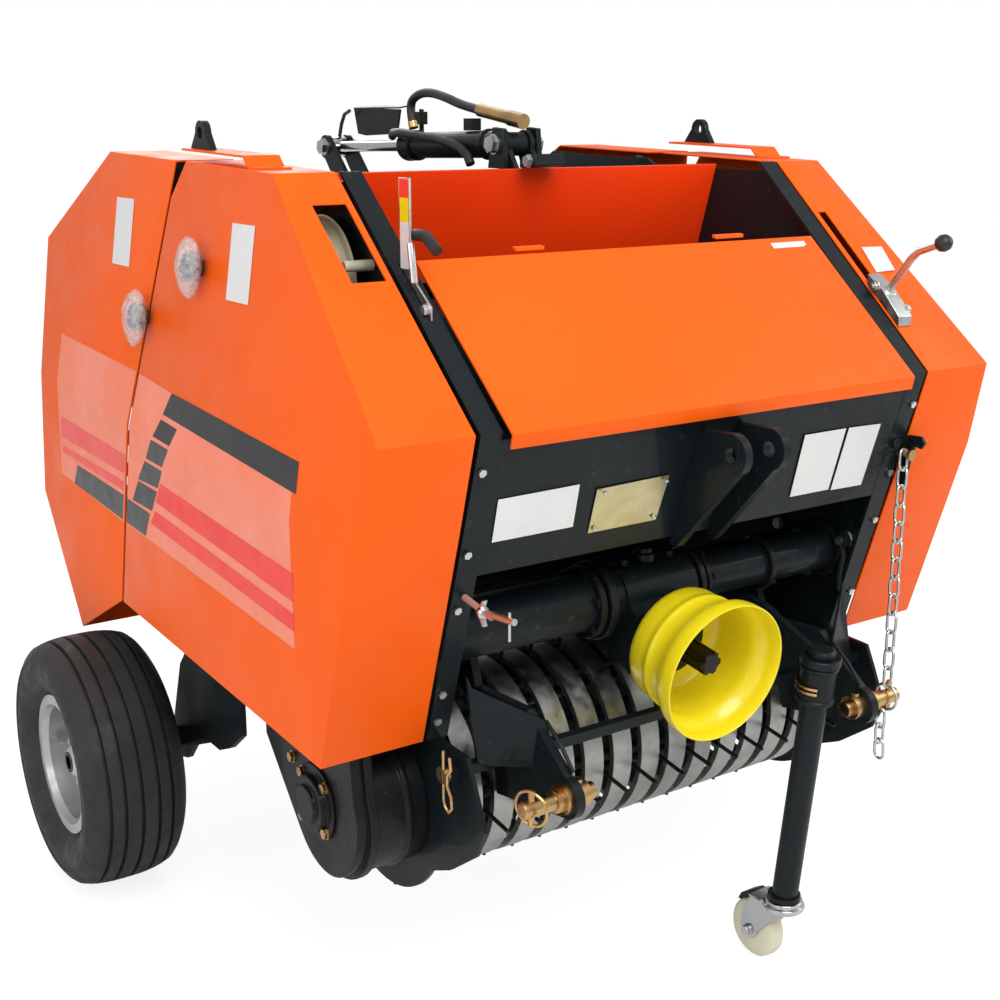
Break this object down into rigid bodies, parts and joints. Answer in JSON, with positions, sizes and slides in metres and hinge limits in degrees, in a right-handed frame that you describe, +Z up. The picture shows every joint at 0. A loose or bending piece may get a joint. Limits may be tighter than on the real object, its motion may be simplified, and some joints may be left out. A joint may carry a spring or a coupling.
{
  "type": "mini round hay baler",
  "caption": "Small tractor-mounted round baler with folded orange side covers, rear gate, tined pick-up, twine box lid, parking jack and two wheels.",
  "frame": {"origin": "centre of the footprint on the floor", "axes": "X across the machine, -Y the hitch end, +Y the gate end, +Z up"},
  "size_m": [1.255, 1.232, 1.2719],
  "materials": {
    "steel": "satin",
    "orange_paint": "gloss",
    "zinc": "yellow zinc plated",
    "chrome": "polished",
    "shaft_steel": "oiled",
    "yellow_plastic": "gloss",
    "band_steel": "worn",
    "rim_silver": "silver paint",
    "tyre_rubber": "matt",
    "nylon": "matt",
    "white_plate": "satin",
    "black_plastic": "matt",
    "hose_rubber": "matt"
  },
  "bodies": {
    "frame": {"frame_side_left": "steel", "frame_side_right": "steel", "front_cover_left": "orange_paint", "front_cover_right": "orange_paint", "frame_rollers": "steel", "roof_beam": "steel", "twine_box_wall": "orange_paint", "twine_box_liner": "steel", "front_panel": "steel", "lid_rail": "steel", "top_link_bracket": "steel", "lower_beam": "steel", "hitch_arms": "steel", "hitch_pins": "zinc", "hitch_tie_bar": "steel", "gearbox": "steel", "drive_tubes": "steel", "pto_shield": "yellow_plastic", "jack_sleeve": "steel", "pickup_bands": "band_steel", "axle_bracket_left": "steel", "axle_bracket_right": "steel", "lifting_eyes": "steel", "roof_plates": "orange_paint", "drive_case": "steel", "twine_wheel": "nylon", "bale_gauge": "white_plate", "engage_lever": "steel", "tension_rod": "zinc", "front_knobs": "black_plastic", "chain_hook": "zinc", "pin_chain": "zinc"},
    "gate": {"gate_cover_left": "orange_paint", "gate_cover_right": "orange_paint", "gate_side_left": "steel", "gate_side_right": "steel", "gate_rollers": "steel", "gate_beam": "steel", "gate_knobs": "black_plastic"},
    "cylinder_barrel": {"gate_cylinder_barrel": "steel", "lift_hose": "hose_rubber", "hose_fittings": "zinc"},
    "cylinder_rod": {"gate_cylinder_rod": "chrome"},
    "lid": {"twine_box_lid": "orange_paint"},
    "shaft": {"pto_shaft": "shaft_steel"},
    "leg": {"jack_leg": "steel"},
    "fork": {"caster_fork": "chrome"},
    "caster": {"caster_wheel": "nylon"},
    "reel": {"pickup_reel": "steel"},
    "wheel_left": {"wheel_rim_left": "rim_silver", "wheel_tyre_left": "tyre_rubber"},
    "wheel_right": {"wheel_rim_right": "rim_silver", "wheel_tyre_right": "tyre_rubber"}
  },
  "joints": [
    {"name": "gate_hinge", "type": "hinge", "parent": "frame", "child": "gate", "pos_m": [0, 0.092, 1.15], "axis": [1, 0, 0], "range_deg": [0, 55]},
    {"name": "barrel_tilt", "type": "hinge", "parent": "frame", "child": "cylinder_barrel", "pos_m": [0, -0.067, 1.19], "axis": [1, 0, 0], "range_deg": [0, 41.08]},
    {"name": "rod_slide", "type": "slide", "parent": "cylinder_barrel", "child": "cylinder_rod", "axis": [0, 0.9997, -0.0238], "range_m": [-0.0852, 0]},
    {"name": "lid_hinge", "type": "hinge", "parent": "frame", "child": "lid", "pos_m": [0, -0.33413, 1.05], "axis": [-1, 0, 0], "range_deg": [0, 130]},
    {"name": "jack_slide", "type": "slide", "parent": "frame", "child": "leg", "axis": [0, -0.1107, 0.9939], "range_m": [0, 0.2]},
    {"name": "caster_swivel", "type": "hinge", "parent": "leg", "child": "fork", "pos_m": [0.185, -0.5045, 0.1], "axis": [0, 0, 1], "continuous": true},
    {"name": "caster_spin", "type": "hinge", "parent": "fork", "child": "caster", "pos_m": [0.185, -0.4545, 0.045], "axis": [1, 0, 0], "continuous": true},
    {"name": "reel_spin", "type": "hinge", "parent": "frame", "child": "reel", "pos_m": [0, -0.273, 0.362], "axis": [1, 0, 0], "continuous": true},
    {"name": "shaft_spin", "type": "hinge", "parent": "frame", "child": "shaft", "pos_m": [0, -0.53, 0.53], "axis": [0, -0.9903, -0.1392], "continuous": true},
    {"name": "wheel_left_spin", "type": "hinge", "parent": "frame", "child": "wheel_left", "pos_m": [-0.545, 0.352, 0.205], "axis": [1, 0, 0], "continuous": true},
    {"name": "wheel_right_spin", "type": "hinge", "parent": "frame", "child": "wheel_right", "pos_m": [0.545, 0.352, 0.205], "axis": [1, 0, 0], "continuous": true}
  ],
  "couplings": [
    {"joint": "barrel_tilt", "follows": "gate_hinge", "ratio": 0.73778},
    {"joint": "rod_slide", "follows": "gate_hinge", "m_per_rad": -0.086705}
  ]
}
